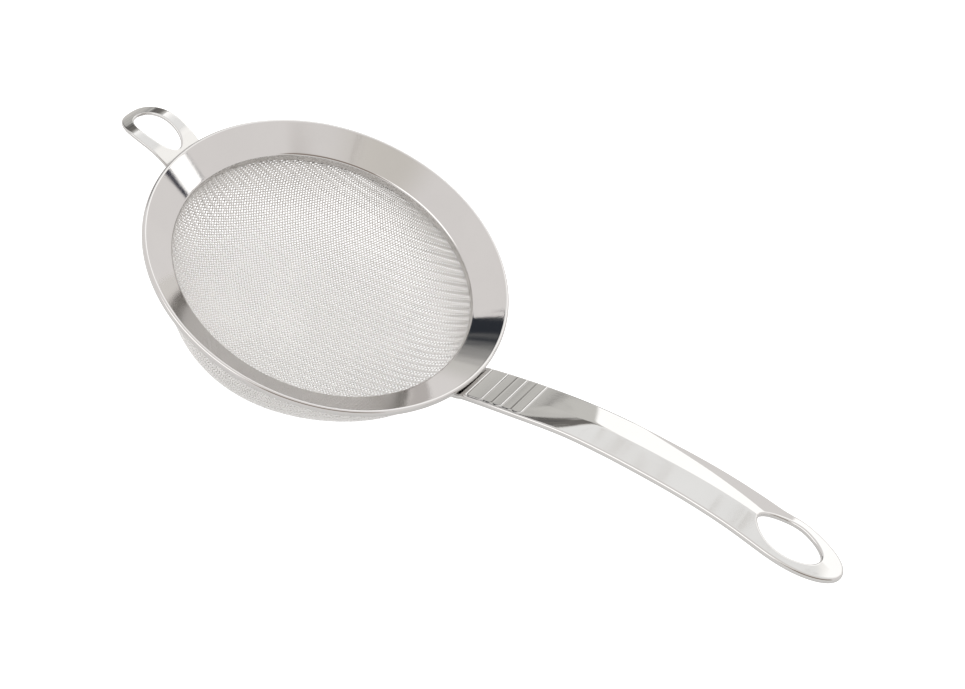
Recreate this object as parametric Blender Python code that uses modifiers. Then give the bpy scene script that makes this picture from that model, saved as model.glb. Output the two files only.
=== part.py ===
"""Fine-mesh tea strainer: a turned collar, a wire-cloth bowl clamped by a ring, a long handle and a hook ear.

Every shape is drawn in the rim's own frame: origin at the centre of the rim, the rim's crest in the plane
z = 0, +X towards the handle. The whole strainer is then tipped to lie on a table, on the bowl and the
handle's tip.
"""

import math

import bmesh
import bpy
from mathutils import Matrix

MM = 0.001
GAP = 0.3  # clearance left between touching pieces, where the real ones are pressed or spot-welded

# Collar: conical flange with a rolled-over lip, bent down into a short neck (radii and heights in mm)
CREST_R = 42.5
LIP_R = 0.6
LIP_DROP = 1.2
SHEET = 0.7
CONE_DEG = 31.8
NECK_INNER_R = 35.33
NECK_BEND_R = 1.0
NECK_BOTTOM_Z = -6.1

# Wire-cloth bowl, as a thin shell
BOWL_R = 36.33
BOWL_SHELL = 0.35
BOWL_TOP_Z = -5.35
BOWL_START_Z = -6.4
BOWL_DEPTH = 18.6
BOWL_POWER = 2.8

# Clamping ring round the outside of the cloth
RING_INNER_R = BOWL_R + BOWL_SHELL + GAP
RING_WALL = 0.6
RING_TOP_Z = -4.95
RING_BOTTOM_Z = -7.95
ROOT_R = RING_INNER_R + RING_WALL + GAP

# Handle: (distance from the rim's centre, height of the top edges, half width)
HANDLE_KNOTS = (
    (37.0, -5.00, 5.90),
    (44.2, -0.85, 6.10),
    (54.5, 4.46, 6.33),
    (66.7, 10.12, 6.26),
    (76.5, 13.64, 6.36),
    (88.1, 17.00, 6.50),
    (98.0, 19.45, 6.70),
    (107.6, 21.10, 6.90),
    (117.3, 22.02, 7.18),
    (126.0, 22.62, 7.18),
    (133.0, 23.60, 7.18),
)
HANDLE_THICK = 1.45
TIP_CENTRE_X = 117.3
TIP_LENGTH = 15.6
TIP_HALF_WIDTH = 7.18
RIDGE_START_X = 66.0
RIDGE_FULL_X = 84.0
RIDGE_HEIGHT = 0.7
HOLE_CENTRE_X = 119.3
HOLE_HALF_LENGTH = 8.1
HOLE_HALF_WIDTH = 4.9
NECK_PLATE = (44.2, 47.4)
GROOVES_X = (48.0, 50.35, 52.55, 54.9, 57.2)
GROOVE_HALF_WIDTH = 0.4
GROOVE_DEPTH = 0.4
GROOVE_REACH = 5.5

# Hook ear opposite the handle
EAR_THICK = 0.85
EAR_TIP_CENTRE_X = -51.0
EAR_TIP_LENGTH = 9.65
EAR_HALF_WIDTH = 6.65
EAR_ROOT_HALF_WIDTH = 5.75
EAR_TIP_POWER = 2.6
SLOT_CENTRE_X = -51.8
SLOT_HALF_LENGTH = 6.6
SLOT_HALF_WIDTH = 3.7
EAR_FLAT = (-43.4, -46.2)


def clear_scene():
    for obj in list(bpy.data.objects):
        bpy.data.objects.remove(obj, do_unlink=True)


def steel(name, color, roughness):
    mat = bpy.data.materials.new(name)
    mat.use_nodes = True
    shader = mat.node_tree.nodes["Principled BSDF"]
    shader.inputs["Base Color"].default_value = (*color, 1.0)
    shader.inputs["Metallic"].default_value = 1.0
    shader.inputs["Roughness"].default_value = roughness
    return mat


def add_object(name, mesh, collection, material):
    obj = bpy.data.objects.new(name, mesh)
    collection.objects.link(obj)
    mesh.materials.clear()
    mesh.materials.append(material)
    return obj


def smooth(obj, degrees=35.0):
    """Shade round pieces smooth, keeping their real corners sharp."""
    bm = bmesh.new()
    bm.from_mesh(obj.data)
    for face in bm.faces:
        face.smooth = True
    for edge in bm.edges:
        edge.smooth = not (len(edge.link_faces) == 2 and edge.calc_face_angle() > math.radians(degrees))
    bm.to_mesh(obj.data)
    bm.free()


def arc(cx, cz, radius, start, end, steps):
    """Points on an arc in the profile plane, angles in degrees from +X towards +Z."""
    points = []
    for i in range(steps + 1):
        a = math.radians(start + (end - start) * i / steps)
        points.append((cx + radius * math.cos(a), cz + radius * math.sin(a)))
    return points


def turned(name, profile, steps, collection, material, closed=True):
    """A ring turned about the rim's axis from a profile of (radius, height) points, clockwise when closed."""
    mesh = bpy.data.meshes.new(name)
    verts = [(r * MM, 0.0, z * MM) for r, z in profile]
    edges = [(i, i + 1) for i in range(len(verts) - 1)]
    if closed:
        edges.append((len(verts) - 1, 0))
    mesh.from_pydata(verts, edges, [])
    obj = add_object(name, mesh, collection, material)
    screw = obj.modifiers.new("turn", "SCREW")
    screw.steps = steps
    screw.render_steps = steps
    screw.use_merge_vertices = True
    screw.merge_threshold = 0.00001
    screw.use_smooth_shade = False
    applied = bpy.data.meshes.new_from_object(evaluated(obj))
    obj.modifiers.clear()
    obj.data = applied
    smooth(obj)
    return obj


def evaluated(obj):
    bpy.context.view_layer.update()
    return obj.evaluated_get(bpy.context.evaluated_depsgraph_get())


def collar_profile():
    """Top side out over the lip, cone, bend and neck, and back underneath, ordered to face outwards."""
    turn = 90.0 + CONE_DEG
    top = arc(CREST_R, -LIP_R, LIP_R, 0.0, turn, 7)
    bend_x = NECK_INNER_R + NECK_BEND_R
    start_r, start_z = top[-1]
    a = math.radians(turn)
    bend_r = bend_x + NECK_BEND_R * math.cos(a)
    on_cone = start_z - (start_r - bend_r) * math.tan(math.radians(CONE_DEG))
    bend_z = on_cone - NECK_BEND_R * math.sin(a)
    top += arc(bend_x, bend_z, NECK_BEND_R, turn, 180.0, 4)
    top.append((NECK_INNER_R, NECK_BOTTOM_Z))
    under = [(NECK_INNER_R + SHEET, NECK_BOTTOM_Z)]
    under += arc(bend_x, bend_z, NECK_BEND_R - SHEET, 180.0, turn, 3)
    inner = CREST_R - 0.15
    under.append((inner - 0.35, start_z - SHEET / math.cos(math.radians(CONE_DEG)) - (start_r - inner + 0.35)
                  * math.tan(math.radians(CONE_DEG))))
    under.append((inner, -LIP_DROP))
    section = [(CREST_R + LIP_R, -LIP_DROP)] + top + under
    return section[::-1]


def bowl_profile():
    """From the axis up the bowl's inside to the clamped edge, then down its outside back to the axis."""
    outer_r = BOWL_R + BOWL_SHELL
    outside = [(outer_r, BOWL_TOP_Z)]
    inside = [(BOWL_R, BOWL_TOP_Z)]
    steps = 11
    for i in range(steps):
        t = 0.5 * math.pi * i / steps
        c = math.cos(t) ** (2.0 / BOWL_POWER)
        s = math.sin(t) ** (2.0 / BOWL_POWER)
        outside.append((outer_r * c, BOWL_START_Z - BOWL_DEPTH * s))
        inside.append((BOWL_R * c, BOWL_START_Z - (BOWL_DEPTH - BOWL_SHELL) * s))
    outside.append((0.0, BOWL_START_Z - BOWL_DEPTH))
    inside.append((0.0, BOWL_START_Z - BOWL_DEPTH + BOWL_SHELL))
    return inside[::-1] + outside


def between(knots, x, column):
    """Smooth curve through the knots' chosen column, by cubic pieces with averaged slopes."""
    xs = [k[0] for k in knots]
    ys = [k[column] for k in knots]
    last = len(xs) - 1
    i = 0
    while i < last - 1 and x > xs[i + 1]:
        i += 1
    slopes = []
    for j in (i, i + 1):
        lo = max(j - 1, 0)
        hi = min(j + 1, last)
        slopes.append((ys[hi] - ys[lo]) / (xs[hi] - xs[lo]))
    h = xs[i + 1] - xs[i]
    t = (x - xs[i]) / h
    return ((2 * t**3 - 3 * t**2 + 1) * ys[i] + (t**3 - 2 * t**2 + t) * h * slopes[0]
            + (3 * t**2 - 2 * t**3) * ys[i + 1] + (t**3 - t**2) * h * slopes[1])


def handle_half_width(x):
    if x <= TIP_CENTRE_X:
        return between(HANDLE_KNOTS, x, 2)
    return TIP_HALF_WIDTH * math.sqrt(max(0.0, 1.0 - ((x - TIP_CENTRE_X) / TIP_LENGTH) ** 2))


def root_points(sign, half_width, steps=6):
    """The end that butts against the clamping ring, curved to follow it."""
    reach = math.asin(half_width / ROOT_R)
    points = []
    for i in range(steps + 1):
        a = reach * (1.0 - 2.0 * i / steps)
        points.append((sign * ROOT_R * math.cos(a), ROOT_R * math.sin(a)))
    return points


def handle_outline():
    side = []
    steps = 18
    for i in range(1, steps + 1):
        x = 38.5 + (TIP_CENTRE_X - 38.5) * i / steps
        side.append((x, -handle_half_width(x)))
    for i in range(1, 12):
        a = math.radians(90.0 * i / 12.0)
        x = TIP_CENTRE_X + TIP_LENGTH * math.sin(a)
        side.append((x, -TIP_HALF_WIDTH * math.cos(a)))
    tip = [(TIP_CENTRE_X + TIP_LENGTH, 0.0)]
    return root_points(1, handle_half_width(38.0)) + side + tip + [(x, -y) for x, y in side[::-1]]


def handle_hole():
    points = []
    for i in range(32):
        a = 2 * math.pi * i / 32
        c = math.cos(a)
        y = HOLE_HALF_WIDTH * math.sin(a) * (1.0 - 0.022 * c - 0.157 * c**2 + 0.113 * c**3)
        points.append((HOLE_CENTRE_X + HOLE_HALF_LENGTH * c, y))
    return points


def handle_curve(x):
    """Height of the handle's two long top edges, dead straight along the neck plate."""
    if NECK_PLATE[0] <= x <= NECK_PLATE[1]:
        lo = between(HANDLE_KNOTS, NECK_PLATE[0], 1)
        hi = between(HANDLE_KNOTS, NECK_PLATE[1], 1)
        return lo + (hi - lo) * (x - NECK_PLATE[0]) / (NECK_PLATE[1] - NECK_PLATE[0])
    return between(HANDLE_KNOTS, x, 1)


def handle_relief(x, y, on_top):
    """The crease along the middle, pressed through the plate, and the grip grooves, cut in its top only."""
    rise = min(1.0, max(0.0, (x - RIDGE_START_X) / (RIDGE_FULL_X - RIDGE_START_X)))
    fade = min(1.0, max(0.0, (TIP_CENTRE_X + TIP_LENGTH - 1.0 - x) / 6.0))
    half = between(HANDLE_KNOTS, min(x, TIP_CENTRE_X), 2)
    z = RIDGE_HEIGHT * rise * fade * max(0.0, 1.0 - abs(y) / half)
    for groove in GROOVES_X:
        across = 1.0 - abs(x - groove) / GROOVE_HALF_WIDTH
        if on_top and across > 0.0 and abs(y) <= GROOVE_REACH + 0.001:
            z -= GROOVE_DEPTH * across
    return z


def ear_outline():
    side = []
    for x in (-40.5, -43.4, -46.2, -48.6):
        share = (x + 38.0) / (EAR_TIP_CENTRE_X + 38.0)
        side.append((x, EAR_ROOT_HALF_WIDTH + (EAR_HALF_WIDTH - EAR_ROOT_HALF_WIDTH) * share))
    for i in range(14):
        a = math.radians(90.0 * i / 14.0)
        x = EAR_TIP_CENTRE_X - EAR_TIP_LENGTH * math.sin(a) ** (2.0 / EAR_TIP_POWER)
        side.append((x, EAR_HALF_WIDTH * math.cos(a) ** (2.0 / EAR_TIP_POWER)))
    tip = [(EAR_TIP_CENTRE_X - EAR_TIP_LENGTH, 0.0)]
    root = root_points(-1, EAR_ROOT_HALF_WIDTH)
    return root[::-1] + side + tip + [(x, -y) for x, y in side[::-1]]


def ear_slot():
    points = []
    for i in range(28):
        a = 2 * math.pi * i / 28
        c = math.cos(a)
        y = SLOT_HALF_WIDTH * math.sin(a) * (1.0 - 0.115 * c + 0.113 * c**2)
        points.append((SLOT_CENTRE_X + SLOT_HALF_LENGTH * c, y))
    return points


def ear_curve(x):
    """The ear rises from under the rim, runs straight for a little, bends over and drops to its tip."""
    if EAR_FLAT[1] <= x <= EAR_FLAT[0]:
        share = (x - EAR_FLAT[0]) / (EAR_FLAT[1] - EAR_FLAT[0])
        return ear_bend(EAR_FLAT[0]) * (1.0 - share) + ear_bend(EAR_FLAT[1]) * share
    return ear_bend(x)


def ear_bend(x):
    u = -x / CREST_R - 1.0
    return CREST_R * (-0.095 + 0.452 * u - 1.092 * u**2 - 0.052 * u**3)


def no_relief(x, y, on_top):
    return 0.0


def flat_blank(outline, hole, thickness):
    """A flat plate cut to an outline with one hole in it, its mid-plane at z = 0."""
    curve = bpy.data.curves.new("blank", "CURVE")
    curve.dimensions = "2D"
    curve.fill_mode = "BOTH"
    curve.extrude = 0.5 * thickness * MM
    for points in (outline, hole):
        spline = curve.splines.new("POLY")
        spline.points.add(len(points) - 1)
        for point, (x, y) in zip(spline.points, points):
            point.co = (x * MM, y * MM, 0.0, 1.0)
        spline.use_cyclic_u = True
    blank = bpy.data.objects.new("blank", curve)
    bpy.context.scene.collection.objects.link(blank)
    mesh = bpy.data.meshes.new_from_object(evaluated(blank))
    bpy.data.objects.remove(blank, do_unlink=True)
    return mesh


def cut_along(bm, point, normal, reach=1.0):
    """Adds an edge line where a plane crosses the faces that lie nearer the rim than the reach."""
    faces = [f for f in bm.faces if min(v.co.x for v in f.verts) < reach]
    geometry = faces + list({e for f in faces for e in f.edges}) + list({v for f in faces for v in f.verts})
    bmesh.ops.bisect_plane(bm, geom=geometry, dist=1e-8, plane_co=point, plane_no=normal)


def pressed_plate(name, blank, thickness, bend_lines, long_lines, curve, relief, collection, material):
    """The blank bent along the given lines to a curve of heights, its top pressed to the relief."""
    bm = bmesh.new()
    bm.from_mesh(blank)
    bmesh.ops.remove_doubles(bm, verts=bm.verts[:], dist=1e-7)
    for x in bend_lines:
        cut_along(bm, (x * MM, 0.0, 0.0), (1.0, 0.0, 0.0))
    for y, reach in long_lines:
        cut_along(bm, (0.0, y * MM, 0.0), (0.0, 1.0, 0.0), reach * MM)
    bmesh.ops.triangulate(bm, faces=bm.faces[:])
    for vert in bm.verts:
        x = vert.co.x / MM
        y = vert.co.y / MM
        slope = math.atan((curve(x + 0.05) - curve(x - 0.05)) / 0.1)
        depth = 0.0 if vert.co.z > 0.0 else thickness
        height = curve(x) + relief(x, y, depth == 0.0)
        vert.co.x = (x + depth * math.sin(slope)) * MM
        vert.co.z = (height - depth * math.cos(slope)) * MM
    bmesh.ops.recalc_face_normals(bm, faces=bm.faces[:])
    mesh = bpy.data.meshes.new(name)
    bm.to_mesh(mesh)
    bm.free()
    obj = add_object(name, mesh, collection, material)
    smooth(obj, 25.0)
    return obj


def handle_bends():
    lines = [41.5, 44.2, 47.4]
    for groove in GROOVES_X:
        lines += [groove - GROOVE_HALF_WIDTH, groove, groove + GROOVE_HALF_WIDTH]
    lines += [60.0 + 4.5 * i for i in range(14)]
    lines += [123.0, 128.0]
    return lines


def lowest(points, tilt):
    """Depth of the lowest of some rim-frame points once tipped about the Y axis."""
    return min(z * math.cos(tilt) - x * math.sin(tilt) for x, y, z in points)


def rest_tilt(bowl, handle):
    """The tilt at which the bowl and the handle's tip touch the table together."""
    bowl_points = [tuple(v.co) for v in bowl.data.vertices]
    handle_points = [tuple(v.co) for v in handle.data.vertices]
    lo = math.radians(10.0)
    hi = math.radians(35.0)
    for _ in range(50):
        mid = 0.5 * (lo + hi)
        if lowest(handle_points, mid) > lowest(bowl_points, mid):
            lo = mid
        else:
            hi = mid
    return 0.5 * (lo + hi)


def lay_on_table(pieces, bowl, handle, collection):
    """Parents every piece to one empty, tips it, and centres the whole over the origin at table level."""
    stand = bpy.data.objects.new("rim_frame", None)
    collection.objects.link(stand)
    turn = Matrix.Rotation(rest_tilt(bowl, handle), 4, "Y")
    corners = [turn @ v.co for piece in pieces for v in piece.data.vertices]
    mid_x = 0.5 * (min(c.x for c in corners) + max(c.x for c in corners))
    mid_y = 0.5 * (min(c.y for c in corners) + max(c.y for c in corners))
    stand.rotation_euler = turn.to_euler()
    stand.location = (-mid_x, -mid_y, -min(c.z for c in corners))
    for piece in pieces:
        piece.parent = stand


def build():
    clear_scene()
    pieces = bpy.data.collections.new("tea_strainer")
    bpy.context.scene.collection.children.link(pieces)
    polished = steel("collar_steel", (0.62, 0.60, 0.58), 0.12)
    cloth = steel("wire_cloth_steel", (0.55, 0.54, 0.53), 0.30)
    ring_steel = steel("ring_steel", (0.56, 0.55, 0.53), 0.22)
    handle_steel = steel("handle_steel", (0.64, 0.62, 0.60), 0.14)
    ear_steel = steel("ear_steel", (0.60, 0.59, 0.57), 0.14)

    collar = turned("rim_collar", collar_profile(), 80, pieces, polished)
    bowl = turned("mesh_bowl", bowl_profile(), 64, pieces, cloth, closed=False)
    ring_outer = RING_INNER_R + RING_WALL
    ring_section = [(ring_outer, RING_TOP_Z), (ring_outer, RING_BOTTOM_Z), (RING_INNER_R, RING_BOTTOM_Z),
                    (RING_INNER_R, RING_TOP_Z)]
    ring = turned("retaining_ring", ring_section, 80, pieces, ring_steel)
    grip_end = GROOVES_X[-1] + 2.0
    handle = pressed_plate("handle", flat_blank(handle_outline(), handle_hole(), HANDLE_THICK), HANDLE_THICK,
                           handle_bends(), ((0.0, 200.0), (GROOVE_REACH, grip_end), (-GROOVE_REACH, grip_end)),
                           handle_curve, handle_relief, pieces, handle_steel)
    ear = pressed_plate("hook_ear", flat_blank(ear_outline(), ear_slot(), EAR_THICK), EAR_THICK,
                        (-40.5, -43.4, -46.2, -48.6, -51.0, -53.4, -55.8, -58.2), ((0.0, 0.0),),
                        ear_curve, no_relief, pieces, ear_steel)
    lay_on_table([collar, bowl, ring, handle, ear], bowl, handle, pieces)


build()
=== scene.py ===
"""Looks for the tea strainer: polished flanged collar, woven wire cloth, pressed handle and hook ear.

Every piece is drawn in the rim's own frame (millimetres, crest of the rim at z = 0, +X towards the handle)
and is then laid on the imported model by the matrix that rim_frame() reads from the collar.
"""

import math

import bpy
import numpy as np
from mathutils import Matrix, Vector


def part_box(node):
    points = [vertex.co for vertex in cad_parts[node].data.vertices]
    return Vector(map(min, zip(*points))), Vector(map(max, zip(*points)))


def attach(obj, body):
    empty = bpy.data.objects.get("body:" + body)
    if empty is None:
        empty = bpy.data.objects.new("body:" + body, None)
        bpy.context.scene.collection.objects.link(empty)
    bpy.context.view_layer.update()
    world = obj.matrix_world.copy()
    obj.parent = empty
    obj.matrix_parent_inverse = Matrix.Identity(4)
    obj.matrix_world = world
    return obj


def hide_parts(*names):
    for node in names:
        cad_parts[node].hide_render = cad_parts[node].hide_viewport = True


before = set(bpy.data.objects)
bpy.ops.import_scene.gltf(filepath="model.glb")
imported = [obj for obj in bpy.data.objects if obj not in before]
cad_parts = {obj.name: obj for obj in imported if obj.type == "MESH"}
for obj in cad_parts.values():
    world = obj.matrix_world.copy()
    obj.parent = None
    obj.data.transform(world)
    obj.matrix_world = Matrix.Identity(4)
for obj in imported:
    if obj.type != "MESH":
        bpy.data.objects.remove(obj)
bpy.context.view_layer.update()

MM = 0.001

# Collar
CREST_R = 42.5
LIP_R = 0.6
LIP_DROP = 1.15
SHEET = 0.7
CONE_DEG = 31.8
NECK_INNER_R = 35.33
NECK_BEND_R = 1.0
NECK_BOTTOM_Z = -6.1

# Clamping ring
RING_INNER_R = 36.98
RING_WALL = 0.6
RING_TOP_Z = -4.95
RING_BOTTOM_Z = -7.95
RING_EDGE_R = 0.15
ROOT_GAP = 0.3
ROOT_R = RING_INNER_R + RING_WALL + ROOT_GAP
COLLAR_SEGMENTS = 360
RING_SEGMENTS = 240

# Woven bowl: a superellipse of revolution, drawn out a little in four low lobes
BOWL_R = 36.45
BOWL_START_Z = -6.4
BOWL_DEPTH = 18.12
BOWL_POWER = 2.8
BOWL_LOBE = 0.018
CLOTH_TOP_Z = -5.3
CLOTH_REACH = 52.0
WARP_DEG = 138.5
WEFT_DEG = 62.2
WARP_SPACING = 0.632
WEFT_SPACING = 0.68
WIRE_R = 0.162
WIRE_STEPS = 3
WIRE_SIDES = 6
WIRE_GROUPS = (0.36, 0.5, 0.64)
LEAST_CROSSINGS = 4
NEWTON_STEPS = 14
LONGEST_STEP = 0.4
LEVEL_WEIGHT = 10.0
MOST_MISS = 1e-3
LEAST_DIAGONAL = 0.15
WALL_ABOVE_BOWL = 5.0

# Handle: (distance from the rim's centre, height of the top edges, half width)
HANDLE_KNOTS = (
    (37.0, -5.00, 5.90),
    (44.2, -0.85, 6.10),
    (54.5, 4.46, 6.33),
    (66.7, 10.12, 6.26),
    (76.5, 13.64, 6.36),
    (88.1, 17.00, 6.50),
    (98.0, 19.45, 6.70),
    (107.6, 21.10, 6.90),
    (117.3, 22.02, 7.18),
    (126.0, 22.62, 7.18),
    (133.0, 23.60, 7.18),
)
HANDLE_THICK = 1.45
HANDLE_EDGE_R = 0.6
HANDLE_ROOT_X = (38.5, 43.6, 58.0)
HANDLE_ROWS = (14, 190, 120)
HANDLE_COLUMNS = 81
HANDLE_RING_X = 107.0
TIP_CENTRE_X = 117.3
TIP_LENGTH = 15.6
TIP_HALF_WIDTH = 7.18
CREASE_START_X = 54.0
CREASE_RUN = 13.5
CREASE_LAG = 6.5
CREASE_HEIGHT = 0.7
CREASE_SOFTNESS = 0.25
CREASE_FADE = 9.0
BEVEL_X = (76.0, 112.0)
BEVEL_Y = (6.3, 1.9)
BEVEL_SLOPE = 0.15
BEVEL_SOFTNESS = 0.02
BEVEL_PAST = 1.15
BEVEL_FADE_IN = 0.2
BEVEL_END_X = 122.0
BEVEL_FADE_OUT = 8.0
HOLE_CENTRE_X = 119.5
HOLE_HALF_LENGTH = 7.85
HOLE_HALF_WIDTH = 4.65
PAD_EDGES_X = (44.35, 48.0, 50.35, 52.55, 54.9, 57.2)
PAD_GAP = 0.32
PAD_NEAR_Y = -5.45
PAD_FAR_Y = 8.0
PAD_CORNER = 0.7
GROOVE_DEPTHS = (0.10, 0.10, 0.03, 0.10, 0.03, 0.10)
GROOVE_SPREAD = 0.16
GROOVE_LAYER = 0.3
NECK_FOLD_X = 43.9
NECK_FOLD_LENGTH = 1.6
NECK_FOLD = 0.13

# Hook ear
EAR_THICK = 0.85
EAR_EDGE_R = 0.3
EAR_TIP_CENTRE_X = 51.0
EAR_TIP_LENGTH = 9.65
EAR_HALF_WIDTH = 6.65
EAR_ROOT_HALF_WIDTH = 5.75
EAR_TIP_POWER = 2.6
EAR_ROOT_X = 38.3
EAR_TAPER_X = 38.0
EAR_ROWS = 24
EAR_COLUMNS = 33
EAR_RING_X = 44.0
EAR_RISE = (-0.095, 0.452, -1.092, -0.052)
SLOT_CENTRE_X = 51.8
SLOT_HALF_LENGTH = 6.6
SLOT_HALF_WIDTH = 3.7

# Both plates
PLATE_RINGS = 14
ROOT_BLEND = 6.0

# Camera, in the rim's frame
CAMERA_AT = (125.3, -322.2, 362.5)
CAMERA_LOOK = (-0.1739, 0.6640, -0.7272)
CAMERA_UP = (-0.6168, 0.5022, 0.6060)
CAMERA_LENS = 82.07
SENSOR = 36.0

# Floor, in metres and in shader units
FLOOR_HALF = 3.0
FLOOR_GREY = 0.4
FLOOR_ROUGHNESS = 0.8
FLOOR_GLOW = 0.5
FLOOR_GLOW_SEEN = 1.1

# Scale of the noise that breaks a ragged panel's edges
WANDER_ACROSS = 38.0
WANDER_UP = 31.0

# Steel: cloudy polish, and hair scratches drawn out along the world's X
CLOUD_SCALE = 90.0
CLOUD_DETAIL = 4.0
CLOUD_RANGE = (0.3, 0.7)
CLOUD_DARKEST = 0.93
HAIR_SCALE = (300.0, 9000.0, 9000.0)
HAIR_DETAIL = 2.0
HAIR_DEPTH = 0.00002


def rim_frame():
    """Matrix from the rim's frame to the row frame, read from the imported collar."""
    points = np.array([v.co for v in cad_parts["rim_collar"].data.vertices])
    middle = points.mean(axis=0)
    up = np.linalg.svd(points - middle, full_matrices=False)[2][2]
    if up[2] < 0.0:
        up = -up
    low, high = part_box("handle")
    towards = np.array((low + high) * 0.5) - middle
    along = towards - up * towards.dot(up)
    along /= np.linalg.norm(along)
    across = np.cross(up, along)
    centre = middle + up * ((points - middle) @ up).max()
    matrix = Matrix.Identity(4)
    for row in range(3):
        matrix[row][0], matrix[row][1], matrix[row][2] = along[row], across[row], up[row]
        matrix[row][3] = centre[row]
    return matrix


RIM = rim_frame()


# ---------------------------------------------------------------- mesh helpers

def add_piece(name, points, quads, material, loose=()):
    """A smooth-shaded piece from points in rim millimetres, faces of four corners and other faces."""
    mesh = bpy.data.meshes.new(name)
    points = np.asarray(points, float)
    quads = np.asarray(quads, np.int64).reshape(-1, 4)
    extra = [list(f) for f in loose]
    corners = quads.size + sum(len(f) for f in extra)
    mesh.vertices.add(len(points))
    world = np.array(RIM)
    placed = points * MM @ world[:3, :3].T + world[:3, 3]
    mesh.vertices.foreach_set("co", placed.astype(np.float32).ravel())
    mesh.loops.add(corners)
    index = np.concatenate([quads.ravel()] + [np.array(f) for f in extra])
    mesh.loops.foreach_set("vertex_index", index.astype(np.int32))
    sizes = np.array([4] * len(quads) + [len(f) for f in extra], np.int32)
    starts = np.concatenate([[0], np.cumsum(sizes)[:-1]]).astype(np.int32)
    mesh.polygons.add(len(sizes))
    mesh.polygons.foreach_set("loop_start", starts)
    mesh.polygons.foreach_set("use_smooth", np.ones(len(sizes), bool))
    mesh.update(calc_edges=True)
    mesh.validate()
    mesh.materials.append(material)
    obj = bpy.data.objects.new(name, mesh)
    bpy.context.scene.collection.objects.link(obj)
    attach(obj, "root")
    return obj


def arc(cx, cz, radius, start, end, steps):
    """Points on an arc in the profile plane, angles in degrees from +X towards +Z."""
    a = np.radians(np.linspace(start, end, steps + 1))
    return np.stack([cx + radius * np.cos(a), cz + radius * np.sin(a)], axis=1)


def straight(start, end, steps):
    """Points along a straight stretch of profile, without its two ends."""
    t = np.linspace(0.0, 1.0, steps + 2)[1:-1, None]
    return np.asarray(start) * (1.0 - t) + np.asarray(end) * t


def lathe(profile, segments):
    """Points and quads of a closed (radius, height) profile turned about the rim's axis."""
    profile = np.asarray(profile)
    n = len(profile)
    a = np.linspace(0.0, 2.0 * math.pi, segments, endpoint=False)
    r = profile[None, :, 0]
    x = r * np.cos(a)[:, None]
    y = r * np.sin(a)[:, None]
    z = np.broadcast_to(profile[None, :, 1], x.shape)
    points = np.stack([x, y, z], axis=-1).reshape(-1, 3)
    i, j = np.meshgrid(np.arange(segments), np.arange(n), indexing="ij")
    i2 = (i + 1) % segments
    j2 = (j + 1) % n
    quads = np.stack([i * n + j, i * n + j2, i2 * n + j2, i2 * n + j], axis=-1).reshape(-1, 4)
    return points, quads


def between(knots, x, column):
    """Smooth curve through the knots' chosen column, by cubic pieces with averaged slopes."""
    table = np.array(knots)
    xs = table[:, 0]
    ys = table[:, column]
    slope = np.gradient(ys, xs)
    slope[1:-1] = (ys[2:] - ys[:-2]) / (xs[2:] - xs[:-2])
    x = np.asarray(x, float)
    i = np.clip(np.searchsorted(xs, x) - 1, 0, len(xs) - 2)
    h = xs[i + 1] - xs[i]
    t = (x - xs[i]) / h
    return ((2 * t**3 - 3 * t**2 + 1) * ys[i] + (t**3 - 2 * t**2 + t) * h * slope[i]
            + (3 * t**2 - 2 * t**3) * ys[i + 1] + (t**3 - t**2) * h * slope[i + 1])


def ease(t):
    t = np.clip(t, 0.0, 1.0)
    return t * t * (3.0 - 2.0 * t)


# ---------------------------------------------------------------- collar and ring

def collar_profile():
    """Over the rolled lip, down the cone, round the bend, down the neck and back underneath."""
    turn = 90.0 + CONE_DEG
    a = math.radians(turn)
    slope = math.tan(math.radians(CONE_DEG))
    lip = arc(CREST_R, -LIP_R, LIP_R, 0.0, turn, 24)
    start_r, start_z = lip[-1]
    bend_x = NECK_INNER_R + NECK_BEND_R
    bend_r = bend_x + NECK_BEND_R * math.cos(a)
    bend_z = start_z - (start_r - bend_r) * slope - NECK_BEND_R * math.sin(a)
    bend = arc(bend_x, bend_z, NECK_BEND_R, turn, 180.0, 14)
    foot = arc(NECK_INNER_R + SHEET / 2, NECK_BOTTOM_Z + SHEET / 2, SHEET / 2, 180.0, 360.0, 10)
    under = arc(bend_x, bend_z, NECK_BEND_R - SHEET, 180.0, turn, 8)
    inner = CREST_R - 0.6
    under_z = start_z - SHEET / math.cos(math.radians(CONE_DEG)) - (start_r - inner) * slope
    under_end = (inner, under_z)
    hem = arc(CREST_R + 0.02, -LIP_DROP + 0.02, LIP_R - 0.02, 180.0, 360.0, 12)
    return np.concatenate([
        lip, straight(lip[-1], bend[0], 30), bend, straight(bend[-1], foot[0], 4), foot,
        straight(foot[-1], under[0], 4), under, straight(under[-1], under_end, 12), [under_end], hem,
    ])[::-1]


def build_collar(material):
    points, quads = lathe(collar_profile(), COLLAR_SEGMENTS)
    piece = add_piece("polished_collar", points, quads, material)
    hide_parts("rim_collar")


def build_ring(material):
    edge = RING_EDGE_R
    outer = RING_INNER_R + RING_WALL
    section = np.concatenate([
        arc(outer - edge, RING_TOP_Z - edge, edge, 90.0, 0.0, 4),
        arc(outer - edge, RING_BOTTOM_Z + edge, edge, 0.0, -90.0, 4),
        arc(RING_INNER_R + edge, RING_BOTTOM_Z + edge, edge, 270.0, 180.0, 4),
        arc(RING_INNER_R + edge, RING_TOP_Z - edge, edge, 180.0, 90.0, 4),
    ])
    points, quads = lathe(section, RING_SEGMENTS)
    piece = add_piece("clamping_ring", points, quads, material)
    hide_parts("retaining_ring")


# ---------------------------------------------------------------- woven bowl

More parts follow.
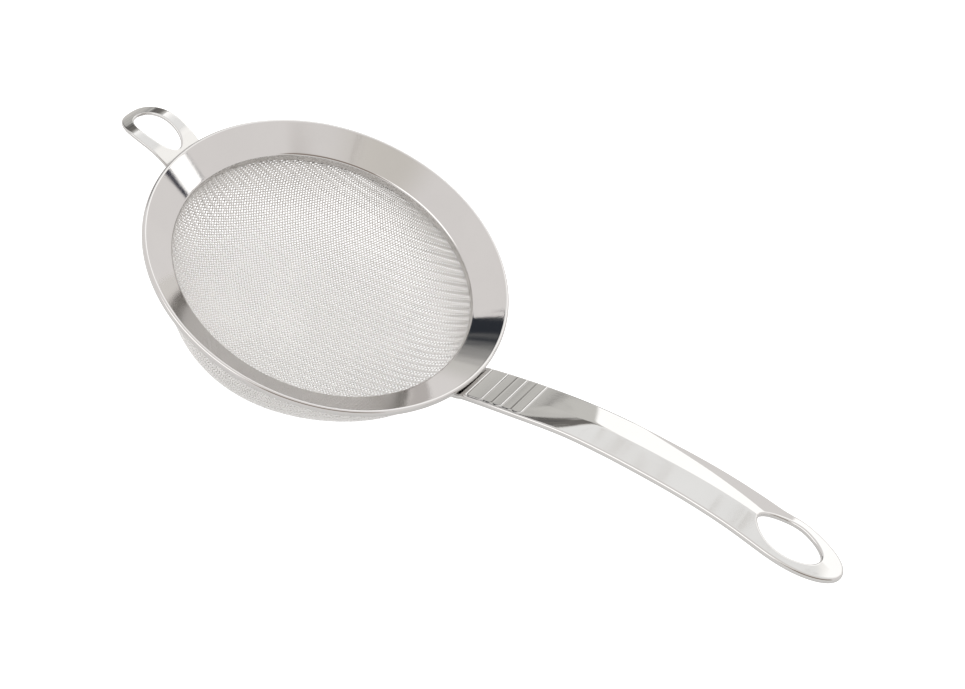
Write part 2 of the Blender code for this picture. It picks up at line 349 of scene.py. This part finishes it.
def bowl_level(points):
    """Zero on the bowl's surface and positive outside it; four low lobes stand out half-way down."""
    below = np.clip(BOWL_START_Z - points[..., 2], 0.0, None) / BOWL_DEPTH
    h = np.minimum(below, 1.0)
    theta = np.arctan2(points[..., 1], points[..., 0])
    radius = BOWL_R * (1.0 + BOWL_LOBE * 4.0 * h * (1.0 - h) * np.cos(4.0 * theta))
    r = np.hypot(points[..., 0], points[..., 1])
    return (r / radius) ** BOWL_POWER + below**BOWL_POWER - 1.0


def bowl_slope(points):
    step = 1e-4
    parts = []
    for k in range(3):
        move = np.zeros(3)
        move[k] = step
        parts.append((bowl_level(points + move) - bowl_level(points - move)) / (2.0 * step))
    return np.stack(parts, axis=-1)


def middle_wire(angle, spacing, count):
    """Crossings along the wire that leaves the bowl's lowest point at an angle, up the wall."""
    a = np.linspace(0.0, 0.5 * math.pi, 8001)
    h = BOWL_DEPTH * np.cos(a) ** (2.0 / BOWL_POWER)
    share = h / BOWL_DEPTH
    lobe = 1.0 + BOWL_LOBE * 4.0 * share * (1.0 - share) * math.cos(4.0 * angle)
    r = BOWL_R * np.sin(a) ** (2.0 / BOWL_POWER) * lobe
    r = np.append(r, r[-1])
    z = np.append(BOWL_START_Z - h, BOWL_START_Z + 30.0)
    length = np.concatenate([[0.0], np.cumsum(np.hypot(np.diff(r), np.diff(z)))])
    at = np.arange(count) * spacing
    r_at = np.interp(at, length, r)
    return np.stack([r_at * math.cos(angle), r_at * math.sin(angle), np.interp(at, length, z)], axis=-1)


def next_crossings(guess, a, b, spacing_a, spacing_b):
    """Points of the bowl at one wire spacing from a and one from b, by Newton's method."""
    points = guess
    for _ in range(NEWTON_STEPS):
        from_a = points - a
        from_b = points - b
        miss = np.stack([LEVEL_WEIGHT * bowl_level(points), (from_a**2).sum(-1) - spacing_a**2,
                         (from_b**2).sum(-1) - spacing_b**2], axis=-1)
        matrix = np.stack([LEVEL_WEIGHT * bowl_slope(points), 2.0 * from_a, 2.0 * from_b], axis=-2)
        step = np.linalg.solve(matrix + 1e-9 * np.eye(3), miss[..., None])[..., 0]
        size = np.linalg.norm(step, axis=-1, keepdims=True)
        points = points - step * np.minimum(1.0, LONGEST_STEP / np.maximum(size, 1e-9))
    return points, np.abs(miss).max(axis=-1)


def cloth_sector(angle_a, angle_b, spacing_a, spacing_b):
    """Crossings between two middle wires, laid on the bowl without stretching any wire."""
    count_a = int(CLOTH_REACH / spacing_a)
    count_b = int(CLOTH_REACH / spacing_b)
    net = np.full((count_a, count_b, 3), np.nan)
    net[:, 0] = middle_wire(angle_a, spacing_a, count_a)
    net[0, :] = middle_wire(angle_b, spacing_b, count_b)
    for k in range(2, count_a + count_b - 1):
        i = np.arange(max(1, k - count_b + 1), min(count_a, k))
        j = k - i
        known = np.isfinite(net[i - 1, j, 0]) & np.isfinite(net[i, j - 1, 0])
        i, j = i[known], j[known]
        if not len(i):
            continue
        a, b, corner = net[i - 1, j], net[i, j - 1], net[i - 1, j - 1]
        points, miss = next_crossings(a + b - corner, a, b, spacing_a, spacing_b)
        lost = (miss > MOST_MISS) | (points[:, 2] > BOWL_START_Z + WALL_ABOVE_BOWL)
        lost |= np.linalg.norm(points - corner, axis=1) < LEAST_DIAGONAL
        points[lost] = np.nan
        net[i, j] = points
    return net


def whole_cloth():
    """All crossings and their outward normals; two sectors, and the same two turned half round."""
    a = math.radians(WARP_DEG)
    b = math.radians(WEFT_DEG)
    ahead = cloth_sector(a, b, WARP_SPACING, WEFT_SPACING)
    beside = cloth_sector(a, b - math.pi, WARP_SPACING, WEFT_SPACING)
    half = np.concatenate([beside[:, :0:-1], ahead], axis=1)
    turned = half[::-1, ::-1] * (-1.0, -1.0, 1.0)
    net = np.concatenate([turned[:-1], half], axis=0)
    normal = bowl_slope(np.nan_to_num(net, nan=1.0))
    return net, normal / np.linalg.norm(normal, axis=-1, keepdims=True)


def wire_path(nodes, normals, side, steps):
    """Centre line of one wire: over or under each crossing by its own radius."""
    before = np.concatenate([[2 * nodes[0] - nodes[1]], nodes[:-1]])
    after = np.concatenate([nodes[1:], [2 * nodes[-1] - nodes[-2]]])
    tangent = 0.5 * (after - before)
    t = (np.arange(steps) / steps)[None, :, None]
    a, b = nodes[:-1, None], nodes[1:, None]
    line = ((2 * t**3 - 3 * t**2 + 1) * a + (t**3 - 2 * t**2 + t) * tangent[:-1, None]
            + (3 * t**2 - 2 * t**3) * b + (t**3 - t**2) * tangent[1:, None])
    normal = (1 - t) * normals[:-1, None] + t * normals[1:, None]
    swing = 0.5 - 0.5 * np.cos(math.pi * t)
    height = side[:-1, None, None] * (1 - swing) + side[1:, None, None] * swing
    line = (line + normal * height * WIRE_R).reshape(-1, 3)
    line = np.concatenate([line, [nodes[-1] + normals[-1] * side[-1] * WIRE_R]])
    return line, np.concatenate([normal.reshape(-1, 3), normals[-1:]])


def tube(line, normal, sides):
    """Points, quads and end caps of a round wire along a line."""
    tangent = np.gradient(line, axis=0)
    tangent /= np.linalg.norm(tangent, axis=1, keepdims=True)
    across = np.cross(tangent, normal)
    across /= np.linalg.norm(across, axis=1, keepdims=True)
    up = np.cross(across, tangent)
    a = np.linspace(0.0, 2.0 * math.pi, sides, endpoint=False)
    ring = up[:, None] * np.cos(a)[None, :, None] + across[:, None] * np.sin(a)[None, :, None]
    points = (line[:, None] + WIRE_R * ring).reshape(-1, 3)
    n = len(line)
    i, j = np.meshgrid(np.arange(n - 1), np.arange(sides), indexing="ij")
    j2 = (j + 1) % sides
    quads = np.stack([i * sides + j, (i + 1) * sides + j, (i + 1) * sides + j2, i * sides + j2],
                     axis=-1).reshape(-1, 4)
    caps = [list(range(sides)), list(range(n * sides - 1, (n - 1) * sides - 1, -1))]
    return points, quads, caps


def build_wires(name, net, normal, over, rows, material):
    """Some of the wires that run along the net's second axis, as one piece."""
    points, quads, caps = [], [], []
    offset = 0
    for row in rows:
        kept = np.flatnonzero(np.isfinite(net[row, :, 0]) & (net[row, :, 2] < CLOTH_TOP_Z))
        if len(kept) < LEAST_CROSSINGS:
            continue
        kept = np.arange(kept[0], kept[-1] + 1)
        line, up = wire_path(net[row, kept], normal[row, kept], over[row, kept], WIRE_STEPS)
        p, q, c = tube(line, up, WIRE_SIDES)
        points.append(p)
        quads.append(q + offset)
        caps += [[k + offset for k in cap] for cap in c]
        offset += len(p)
    piece = add_piece(name, np.concatenate(points), np.concatenate(quads), material, caps)
    return piece


def build_cloth(material):
    """Warp and weft of the 2/2 twill: each wire goes over two wires, then under two."""
    net, normal = whole_cloth()
    i, j = np.meshgrid(np.arange(net.shape[0]), np.arange(net.shape[1]), indexing="ij")
    over = np.where((i + j) % 4 < 2, 1.0, -1.0)
    for family, grid, ups, side in (
        ("weft_wires", net, normal, over),
        ("warp_wires", net.transpose(1, 0, 2), normal.transpose(1, 0, 2), -over.T),
    ):
        n = len(grid)
        cuts = [int(n * share) for share in WIRE_GROUPS]
        for k, rows in enumerate(np.split(np.arange(n), cuts)):
            build_wires(f"{family}_{k + 1}", grid, ups, side, rows, material)
    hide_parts("mesh_bowl")


# ---------------------------------------------------------------- pressed plates

def bent(curve, relief, x, y, depth, thickness):
    """A point of the flat plate, at a depth below its top, carried onto the bent and pressed plate."""
    slope = np.arctan((curve(x + 0.05) - curve(x - 0.05)) / 0.1)
    top_share = np.clip(1.0 - depth / thickness, 0.0, 1.0)
    z = curve(x) + relief(x, y, top_share) - depth * np.cos(slope)
    return np.stack([x + depth * np.sin(slope), y, z], axis=-1)


def loop_normals(loop):
    """Outward directions along a closed loop of plan points that runs anticlockwise."""
    step = np.roll(loop, -1, axis=0) - np.roll(loop, 1, axis=0)
    out = np.stack([step[:, 1], -step[:, 0]], axis=1)
    return out / np.linalg.norm(out, axis=1, keepdims=True)


def edge_section(radius, thickness):
    """(how far out, how deep) from the top face, round the edge, to the bottom face."""
    a = np.radians(np.linspace(0.0, 90.0, 7))
    top = np.stack([radius * np.sin(a), radius * (1.0 - np.cos(a))], axis=1)
    bottom = np.stack([radius * np.cos(a), thickness - radius * (1.0 - np.sin(a))], axis=1)
    return np.concatenate([top, bottom])


def plate(rows_x, columns, half_width, tip, hole, edge_r, thickness, curve, relief):
    """Points and quads of a pressed plate: a body of rows and columns, then rings round its hole.

    rows_x run from the root to the line where the rings start; columns are shares of the half width;
    tip(n) gives plan points round the tip from that line's far corner to its near one; hole gives the
    hole's plan point at an angle, grown by a margin.
    """
    inset = half_width(rows_x) - edge_r
    y = inset[:, None] * columns[None, :]
    x = np.broadcast_to(rows_x[:, None], y.shape).copy()
    reach = np.sqrt(ROOT_R**2 - y[0] ** 2)
    blend = np.clip((rows_x[0] + ROOT_BLEND - rows_x) / ROOT_BLEND, 0.0, 1.0)[:, None]
    x = x + (reach + edge_r - rows_x[0])[None, :] * blend
    body = np.stack([x, y], axis=-1)
    n_rows, n_cols = y.shape
    outer_arc = tip(edge_r)
    start_line = body[-1]
    outer = np.concatenate([start_line, outer_arc[1:-1]])
    centre = np.array([hole.centre, 0.0])
    away = outer - centre
    angle = np.arctan2(away[:, 1] / hole.half_width, away[:, 0] / hole.half_length)
    inner = hole.at(angle, edge_r)
    t = (np.arange(1, PLATE_RINGS + 1) / PLATE_RINGS)[:, None, None]
    rings = outer[None] * (1.0 - t) + inner[None] * t
    flat = np.concatenate([body.reshape(-1, 2), outer_arc[1:-1], rings.reshape(-1, 2)])
    n_body = n_rows * n_cols
    n_loop = len(outer)
    first_ring = np.concatenate([
        (n_rows - 1) * n_cols + np.arange(n_cols),
        n_body + np.arange(n_loop - n_cols),
    ])
    ring_base = n_body + n_loop - n_cols
    later_rings = ring_base + np.arange(PLATE_RINGS * n_loop).reshape(PLATE_RINGS, n_loop)
    ring_index = np.concatenate([[first_ring], later_rings])
    i, j = np.meshgrid(np.arange(n_rows - 1), np.arange(n_cols - 1), indexing="ij")
    at = i * n_cols + j
    quads = [np.stack([at, at + n_cols, at + n_cols + 1, at + 1], axis=-1).reshape(-1, 4)]
    nxt = np.roll(ring_index, -1, axis=1)
    rings_quads = np.stack([ring_index[:-1], ring_index[1:], nxt[1:], nxt[:-1]], axis=-1)
    quads.append(rings_quads.reshape(-1, 4))
    sheet = np.concatenate(quads)
    outline = np.concatenate([
        np.arange(n_cols)[::-1],
        np.arange(1, n_rows) * n_cols,
        n_body + np.arange(n_loop - n_cols)[::-1],
        (np.arange(1, n_rows)[::-1]) * n_cols + n_cols - 1,
    ])
    rim = ring_index[-1]
    n_flat = len(flat)
    top = bent(curve, relief, flat[:, 0], flat[:, 1], np.zeros(n_flat), thickness)
    bottom = bent(curve, relief, flat[:, 0], flat[:, 1], np.full(n_flat, thickness), thickness)
    points = [top, bottom]
    faces = [sheet, sheet[:, ::-1] + n_flat]
    base = 2 * n_flat
    for loop, sign in ((outline, 1.0), (rim, -1.0)):
        plan = flat[loop]
        ahead = np.roll(plan, -1, axis=0)
        area = 0.5 * np.sum(plan[:, 0] * ahead[:, 1] - plan[:, 1] * ahead[:, 0])
        if area < 0.0:
            loop = loop[::-1]
            plan = flat[loop]
        out = loop_normals(plan) * sign
        section = edge_section(edge_r, thickness)[1:-1]
        levels = [loop]
        for out_by, depth in section:
            edge = plan + out * out_by
            depths = np.full(len(loop), depth)
            points.append(bent(curve, relief, edge[:, 0], edge[:, 1], depths, thickness))
            levels.append(base + np.arange(len(loop)))
            base += len(loop)
        levels.append(loop + n_flat)
        for a, b in zip(levels[:-1], levels[1:]):
            a2 = np.roll(a, -1)
            b2 = np.roll(b, -1)
            strip = np.stack([a, b, b2, a2], axis=1)
            faces.append(strip if sign > 0.0 else strip[:, ::-1])
    return np.concatenate(points), np.concatenate(faces)


class Hole:
    """An egg-shaped hole; squeeze holds the factors that shape its half width along its length."""

    def __init__(self, centre, half_length, half_width, squeeze):
        self.centre = centre
        self.half_length = half_length
        self.half_width = half_width
        self.squeeze = squeeze

    def at(self, angle, margin):
        c = np.cos(angle)
        k = 1.0 + self.squeeze[0] * c + self.squeeze[1] * c**2 + self.squeeze[2] * c**3
        x = self.centre + (self.half_length + margin) * c
        return np.stack([x, (self.half_width * k + margin) * np.sin(angle)], axis=-1)


def handle_half_width(x):
    return between(HANDLE_KNOTS, x, 2)


def handle_curve(x):
    return between(HANDLE_KNOTS, x, 1)


def pad_groove(x, y):
    """Depth of the narrow grooves that run round each grip pad."""
    depth = np.zeros_like(x)
    for start, end in zip(PAD_EDGES_X[:-1], PAD_EDGES_X[1:]):
        middle = 0.5 * (start + end)
        half = 0.5 * (end - start) - 0.5 * PAD_GAP
        dx = np.abs(x - middle) - (half - PAD_CORNER)
        half_across = 0.5 * (PAD_FAR_Y - PAD_NEAR_Y)
        dy = np.abs(y - 0.5 * (PAD_NEAR_Y + PAD_FAR_Y)) - (half_across - PAD_CORNER)
        outside = np.hypot(np.maximum(dx, 0.0), np.maximum(dy, 0.0))
        distance = outside + np.minimum(np.maximum(dx, dy), 0.0) - PAD_CORNER
        depth = np.maximum(depth, np.exp(-((distance - 0.5 * PAD_GAP) / GROOVE_SPREAD) ** 2))
    return np.interp(x, PAD_EDGES_X, GROOVE_DEPTHS) * depth


def handle_relief(x, y, top_share):
    """Crease, third facet and neck fold, pressed through the plate, and the grooves, in its top only."""
    fade = ease((TIP_CENTRE_X + TIP_LENGTH - x) / CREASE_FADE)
    half = handle_half_width(np.minimum(x, TIP_CENTRE_X))
    share = np.sqrt((y / half) ** 2 + (CREASE_SOFTNESS / half) ** 2)
    start = CREASE_START_X + CREASE_LAG * np.where(y < 0.0, 1.0 - share, 1.0)
    rise = ease((x - start) / CREASE_RUN)
    crease = CREASE_HEIGHT * rise * fade * (1.0 - share)
    bevel_x = np.clip((x - BEVEL_X[0]) / (BEVEL_X[1] - BEVEL_X[0]), 0.0, BEVEL_PAST)
    bevel_y = BEVEL_Y[0] + (BEVEL_Y[1] - BEVEL_Y[0]) * bevel_x
    beyond = 0.5 * (y - bevel_y + np.sqrt((y - bevel_y) ** 2 + BEVEL_SOFTNESS))
    shown = ease(bevel_x / BEVEL_FADE_IN) * ease((BEVEL_END_X - x) / BEVEL_FADE_OUT)
    crease = crease - BEVEL_SLOPE * beyond * shown
    fold = NECK_FOLD * np.clip(NECK_FOLD_X - x, 0.0, NECK_FOLD_LENGTH) ** 2
    return crease - fold - pad_groove(x, y) * ease((top_share - 1.0 + GROOVE_LAYER) / GROOVE_LAYER)


def handle_tip(edge_r):
    """Plan points of the inset outline, from the far corner of the ring zone's start, round the tip."""
    side_x = np.linspace(HANDLE_RING_X, TIP_CENTRE_X, 24)
    far = np.stack([side_x, handle_half_width(side_x) - edge_r], axis=1)
    a = np.radians(np.linspace(90.0, -90.0, 73))[1:-1]
    tip = np.stack([TIP_CENTRE_X + (TIP_LENGTH - edge_r) * np.cos(a),
                    (TIP_HALF_WIDTH - edge_r) * np.sin(a)], axis=1)
    near = far[::-1] * (1.0, -1.0)
    return np.concatenate([far, tip, near])



def spread_columns(count, bunch):
    """Column shares from -1 to 1, bunched towards both edges."""
    t = np.linspace(-1.0, 1.0, count)
    return (1.0 - bunch) * t + bunch * np.sin(0.5 * math.pi * t)


def build_handle(material):
    ends = (*HANDLE_ROOT_X, HANDLE_RING_X)
    rows = np.concatenate([
        np.linspace(start, end, count)[: None if end == HANDLE_RING_X else -1]
        for start, end, count in zip(ends[:-1], ends[1:], HANDLE_ROWS)
    ])
    columns = spread_columns(HANDLE_COLUMNS, 0.45)
    hole = Hole(HOLE_CENTRE_X, HOLE_HALF_LENGTH, HOLE_HALF_WIDTH, (-0.022, -0.157, 0.113))
    points, quads = plate(rows, columns, handle_half_width, handle_tip, hole,
                          HANDLE_EDGE_R, HANDLE_THICK, handle_curve, handle_relief)
    piece = add_piece("pressed_handle", points, quads, material)
    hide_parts("handle")


def ear_half_width(x):
    share = (x - EAR_TAPER_X) / (EAR_TIP_CENTRE_X - EAR_TAPER_X)
    return EAR_ROOT_HALF_WIDTH + (EAR_HALF_WIDTH - EAR_ROOT_HALF_WIDTH) * np.minimum(share, 1.0)


def ear_curve(x):
    u = x / CREST_R - 1.0
    return CREST_R * sum(factor * u**power for power, factor in enumerate(EAR_RISE))


def ear_relief(x, y, top_share):
    return np.zeros_like(x)


def ear_tip(edge_r):
    a = np.radians(np.linspace(90.0, -90.0, 61))
    power = 2.0 / EAR_TIP_POWER
    x = EAR_TIP_CENTRE_X + (EAR_TIP_LENGTH - edge_r) * np.abs(np.cos(a)) ** power
    y = (EAR_HALF_WIDTH - edge_r) * np.abs(np.sin(a)) ** power * np.sign(np.sin(a))
    side_x = np.linspace(EAR_RING_X, EAR_TIP_CENTRE_X, 20)[:-1]
    far = np.stack([side_x, ear_half_width(side_x) - edge_r], axis=1)
    return np.concatenate([far, np.stack([x, y], axis=1), far[::-1] * (1.0, -1.0)])



def build_ear(material):
    rows = np.linspace(EAR_ROOT_X, EAR_RING_X, EAR_ROWS)
    hole = Hole(SLOT_CENTRE_X, SLOT_HALF_LENGTH, SLOT_HALF_WIDTH, (0.115, 0.113, 0.0))
    columns = spread_columns(EAR_COLUMNS, 0.3)
    points, quads = plate(rows, columns, ear_half_width, ear_tip, hole,
                          EAR_EDGE_R, EAR_THICK, ear_curve, ear_relief)
    points = points * (-1.0, -1.0, 1.0)
    piece = add_piece("pressed_ear", points, quads, material)
    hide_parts("hook_ear")


# ---------------------------------------------------------------- materials

def steel(name, color, roughness, spread, scratch):
    """Polished steel with uneven roughness and tint, and fine hair scratches."""
    mat = bpy.data.materials.new(name)
    mat.use_nodes = True
    nodes = mat.node_tree.nodes
    links = mat.node_tree.links
    shader = nodes["Principled BSDF"]
    shader.inputs["Metallic"].default_value = 1.0
    place = nodes.new("ShaderNodeTexCoord")
    cloud = nodes.new("ShaderNodeTexNoise")
    cloud.inputs["Scale"].default_value = CLOUD_SCALE
    cloud.inputs["Detail"].default_value = CLOUD_DETAIL
    links.new(place.outputs["Object"], cloud.inputs["Vector"])
    rough = nodes.new("ShaderNodeMapRange")
    rough.inputs["From Min"].default_value = CLOUD_RANGE[0]
    rough.inputs["From Max"].default_value = CLOUD_RANGE[1]
    rough.inputs["To Min"].default_value = roughness - spread
    rough.inputs["To Max"].default_value = roughness + spread
    links.new(cloud.outputs["Fac"], rough.inputs["Value"])
    links.new(rough.outputs["Result"], shader.inputs["Roughness"])
    tint = nodes.new("ShaderNodeMixRGB")
    tint.inputs["Color1"].default_value = (*color, 1.0)
    tint.inputs["Color2"].default_value = (*[c * CLOUD_DARKEST for c in color], 1.0)
    links.new(cloud.outputs["Fac"], tint.inputs["Fac"])
    links.new(tint.outputs["Color"], shader.inputs["Base Color"])
    stretch = nodes.new("ShaderNodeMapping")
    stretch.inputs["Scale"].default_value = HAIR_SCALE
    links.new(place.outputs["Object"], stretch.inputs["Vector"])
    hair = nodes.new("ShaderNodeTexNoise")
    hair.inputs["Scale"].default_value = 1.0
    hair.inputs["Detail"].default_value = HAIR_DETAIL
    links.new(stretch.outputs["Vector"], hair.inputs["Vector"])
    bump = nodes.new("ShaderNodeBump")
    bump.inputs["Strength"].default_value = scratch
    bump.inputs["Distance"].default_value = HAIR_DEPTH
    links.new(hair.outputs["Fac"], bump.inputs["Height"])
    links.new(bump.outputs["Normal"], shader.inputs["Normal"])
    return mat


# ---------------------------------------------------------------- stage

def build_floor():
    """A pale floor that glows a little, and more where the camera sees it, so that it reads as white."""
    mat = bpy.data.materials.new("pale_floor")
    mat.use_nodes = True
    shader = mat.node_tree.nodes["Principled BSDF"]
    shader.inputs["Base Color"].default_value = (FLOOR_GREY, FLOOR_GREY, FLOOR_GREY, 1.0)
    shader.inputs["Roughness"].default_value = FLOOR_ROUGHNESS
    shader.inputs["Emission Color"].default_value = (1.0, 1.0, 1.0, 1.0)
    seen = mat.node_tree.nodes.new("ShaderNodeLightPath")
    glow = mat.node_tree.nodes.new("ShaderNodeMapRange")
    glow.inputs["To Min"].default_value = FLOOR_GLOW
    glow.inputs["To Max"].default_value = FLOOR_GLOW_SEEN
    mat.node_tree.links.new(seen.outputs["Is Camera Ray"], glow.inputs["Value"])
    mat.node_tree.links.new(glow.outputs["Result"], shader.inputs["Emission Strength"])
    mesh = bpy.data.meshes.new("floor")
    corners = [(x * FLOOR_HALF, y * FLOOR_HALF, 0.0) for x, y in ((-1, -1), (1, -1), (1, 1), (-1, 1))]
    mesh.from_pydata(corners, [], [(0, 1, 2, 3)])
    mesh.materials.append(mat)
    floor = bpy.data.objects.new("floor", mesh)
    bpy.context.scene.collection.objects.link(floor)


def direction(azimuth, elevation):
    a, e = math.radians(azimuth), math.radians(elevation)
    return Vector((math.cos(e) * math.cos(a), math.cos(e) * math.sin(a), math.sin(e)))


class Sky:
    """The studio as a world shader: a pale surround with soft-edged panels laid over it."""

    def __init__(self, colour):
        world = bpy.data.worlds.new("studio")
        bpy.context.scene.world = world
        world.use_nodes = True
        self.tree = world.node_tree
        self.toward = self.node("ShaderNodeTexCoord").outputs["Generated"]
        base = self.node("ShaderNodeRGB")
        base.outputs["Color"].default_value = (*colour, 1.0)
        self.colour = base.outputs["Color"]

    def node(self, kind):
        return self.tree.nodes.new(kind)

    def maths(self, operation, a, b=None):
        node = self.node("ShaderNodeMath")
        node.operation = operation
        for socket, value in zip(node.inputs, (a, b)):
            if isinstance(value, float):
                socket.default_value = value
            elif value is not None:
                self.tree.links.new(value, socket)
        return node.outputs[0]

    def along(self, axis):
        node = self.node("ShaderNodeVectorMath")
        node.operation = "DOT_PRODUCT"
        self.tree.links.new(self.toward, node.inputs[0])
        node.inputs[1].default_value = axis
        return node.outputs["Value"]

    def below(self, position, limit, soft):
        """1 below the limit, falling smoothly to 0 over the soft width."""
        node = self.node("ShaderNodeMapRange")
        node.interpolation_type = "SMOOTHSTEP"
        self.tree.links.new(position, node.inputs["Value"])
        node.inputs["From Min"].default_value = limit - math.radians(soft)
        node.inputs["From Max"].default_value = limit + math.radians(soft)
        node.inputs["To Min"].default_value = 1.0
        node.inputs["To Max"].default_value = 0.0
        return node.outputs["Result"]

    def wander(self, position, amount, scale):
        """A position moved about by noise, for the broken edge of a cluttered corner of the studio."""
        noise = self.node("ShaderNodeTexNoise")
        noise.inputs["Scale"].default_value = scale
        noise.inputs["Detail"].default_value = 1.0
        self.tree.links.new(self.toward, noise.inputs["Vector"])
        off = self.maths("MULTIPLY", self.maths("SUBTRACT", noise.outputs["Fac"], 0.5), amount)
        return self.maths("ADD", position, off)

    def panel(self, azimuth, elevation, width, height, colour,
              soft=(2.0, 2.0, 2.0), roll=0.0, ragged=0.0):
        """A panel centred on a direction; its sizes and its soft side, top and bottom edges in degrees."""
        middle = direction(azimuth, elevation)
        side = Vector((-middle.y, middle.x, 0.0)).normalized()
        side.rotate(Matrix.Rotation(math.radians(roll), 3, middle))
        rise = middle.cross(side)
        ahead = self.maths("MAXIMUM", self.along(middle), 0.001)
        across = self.maths("DIVIDE", self.along(side), ahead)
        up = self.maths("DIVIDE", self.along(rise), ahead)
        if ragged:
            across = self.wander(across, ragged, WANDER_ACROSS)
            up = self.wander(up, ragged, WANDER_UP)
        wide, high = (math.tan(math.radians(0.5 * size)) for size in (width, height))
        down = self.maths("MULTIPLY", up, -1.0)
        mask = self.maths("MULTIPLY", self.below(up, high, soft[1]), self.below(down, high, soft[2]))
        mask = self.maths("MULTIPLY", mask, self.below(self.maths("ABSOLUTE", across), wide, soft[0]))
        self.lay(mask, colour)

    def lay(self, mask, colour):
        mix = self.node("ShaderNodeMixRGB")
        self.tree.links.new(mask, mix.inputs["Fac"])
        self.tree.links.new(self.colour, mix.inputs["Color1"])
        mix.inputs["Color2"].default_value = (*colour, 1.0)
        self.colour = mix.outputs["Color"]

    def finish(self):
        """The camera itself sees plain white beyond the floor."""
        self.lay(self.node("ShaderNodeLightPath").outputs["Is Camera Ray"], (1.0, 1.0, 1.0))
        self.tree.links.new(self.colour, self.tree.nodes["Background"].inputs["Color"])


def build_world():
    """Panels in the order they are laid, each over the ones before; directions are azimuth, elevation."""
    sky = Sky((0.985, 0.96, 0.955))
    # On the camera's side: a lamp, a wide box and the dim brown room that the near collar sees
    sky.panel(-52.0, 61.0, 44.0, 14.0, (0.84, 0.81, 0.77), soft=(12.0, 5.0, 5.0))
    sky.panel(-95.0, 46.0, 60.0, 26.0, (1.9, 1.9, 1.9))
    sky.panel(-36.0, 28.0, 62.0, 34.0, (0.34, 0.29, 0.25), soft=(5.0, 5.0, 5.0))
    sky.panel(-22.5, 52.9, 2.6, 1.2, (0.6, 0.57, 0.55), soft=(0.6, 0.3, 0.3), ragged=0.12)
    # High screen that the handle's near facet sees, with two slight folds in it
    sky.panel(90.0, 56.0, 62.0, 22.0, (1.16, 1.165, 1.17), soft=(5.0, 5.0, 5.0))
    sky.panel(112.0, 56.0, 1.2, 14.0, (0.9, 0.87, 0.85), soft=(0.8, 1.0, 1.0), roll=30.0, ragged=0.3)
    sky.panel(76.5, 57.0, 1.2, 14.0, (0.88, 0.86, 0.84), soft=(0.8, 1.0, 1.0), roll=-30.0, ragged=0.3)
    # Two bright boxes for the ear's arms, the handle's far facet and its tip
    sky.panel(65.0, 38.0, 22.0, 23.0, (1.4, 1.39, 1.37), soft=(1.5, 1.5, 1.0))
    sky.panel(95.0, 38.0, 40.0, 23.0, (1.6, 1.6, 1.6), soft=(0.7, 1.5, 1.0))
    # Grey corner beside them, with the dark clutter that the collar and the ear's tip see
    sky.panel(112.5, 13.0, 10.0, 18.0, (0.14, 0.14, 0.15), soft=(1.0, 1.5, 1.5))
    sky.panel(136.6, 36.0, 36.0, 23.0, (0.80, 0.79, 0.765), soft=(0.7, 0.8, 4.0))
    sky.panel(127.5, 41.2, 15.0, 8.5, (0.22, 0.21, 0.20), soft=(1.5, 1.5, 1.5), ragged=0.12)
    sky.panel(145.2, 41.2, 22.0, 16.5, (0.035, 0.04, 0.05), soft=(3.0, 0.5, 10.0), roll=-34.0, ragged=0.22)
    # Small bright window in a dark frame, seen in the collar beside the ear
    sky.panel(51.5, 17.5, 11.0, 7.0, (0.05, 0.05, 0.07), soft=(0.3, 0.3, 0.3), ragged=0.08)
    sky.panel(50.8, 18.6, 8.2, 6.6, (1.9, 1.9, 1.9), soft=(0.3, 0.3, 0.3), ragged=0.08)
    # Low brown patch
    sky.panel(123.5, 3.0, 3.0, 6.0, (0.45, 0.40, 0.36), soft=(0.7, 1.0, 1.0))
    sky.finish()


def build_camera():
    turn = RIM.to_3x3()
    look = (turn @ Vector(CAMERA_LOOK)).normalized()
    up = (turn @ Vector(CAMERA_UP)).normalized()
    right = look.cross(up).normalized()
    up = right.cross(look)
    matrix = Matrix((right, up, -look)).transposed().to_4x4()
    matrix.translation = RIM @ (Vector(CAMERA_AT) * MM)
    data = bpy.data.cameras.new("camera")
    data.lens = CAMERA_LENS
    data.sensor_width = SENSOR
    camera = bpy.data.objects.new("camera", data)
    camera.matrix_world = matrix
    bpy.context.scene.collection.objects.link(camera)
    bpy.context.scene.camera = camera


def main():
    collar_steel = steel("collar_polish", (0.66, 0.645, 0.63), 0.04, 0.015, 0.08)
    wire_steel = steel("wire_polish", (0.93, 0.92, 0.905), 0.4, 0.05, 0.1)
    ring_steel = steel("ring_polish", (0.62, 0.61, 0.59), 0.12, 0.04, 0.12)
    handle_steel = steel("handle_polish", (0.66, 0.65, 0.635), 0.045, 0.015, 0.08)
    ear_steel = steel("ear_polish", (0.66, 0.65, 0.635), 0.045, 0.015, 0.08)
    build_collar(collar_steel)
    build_ring(ring_steel)
    build_cloth(wire_steel)
    build_handle(handle_steel)
    build_ear(ear_steel)
    build_floor()
    build_world()
    build_camera()
    bpy.context.scene.view_settings.view_transform = "Standard"


main()
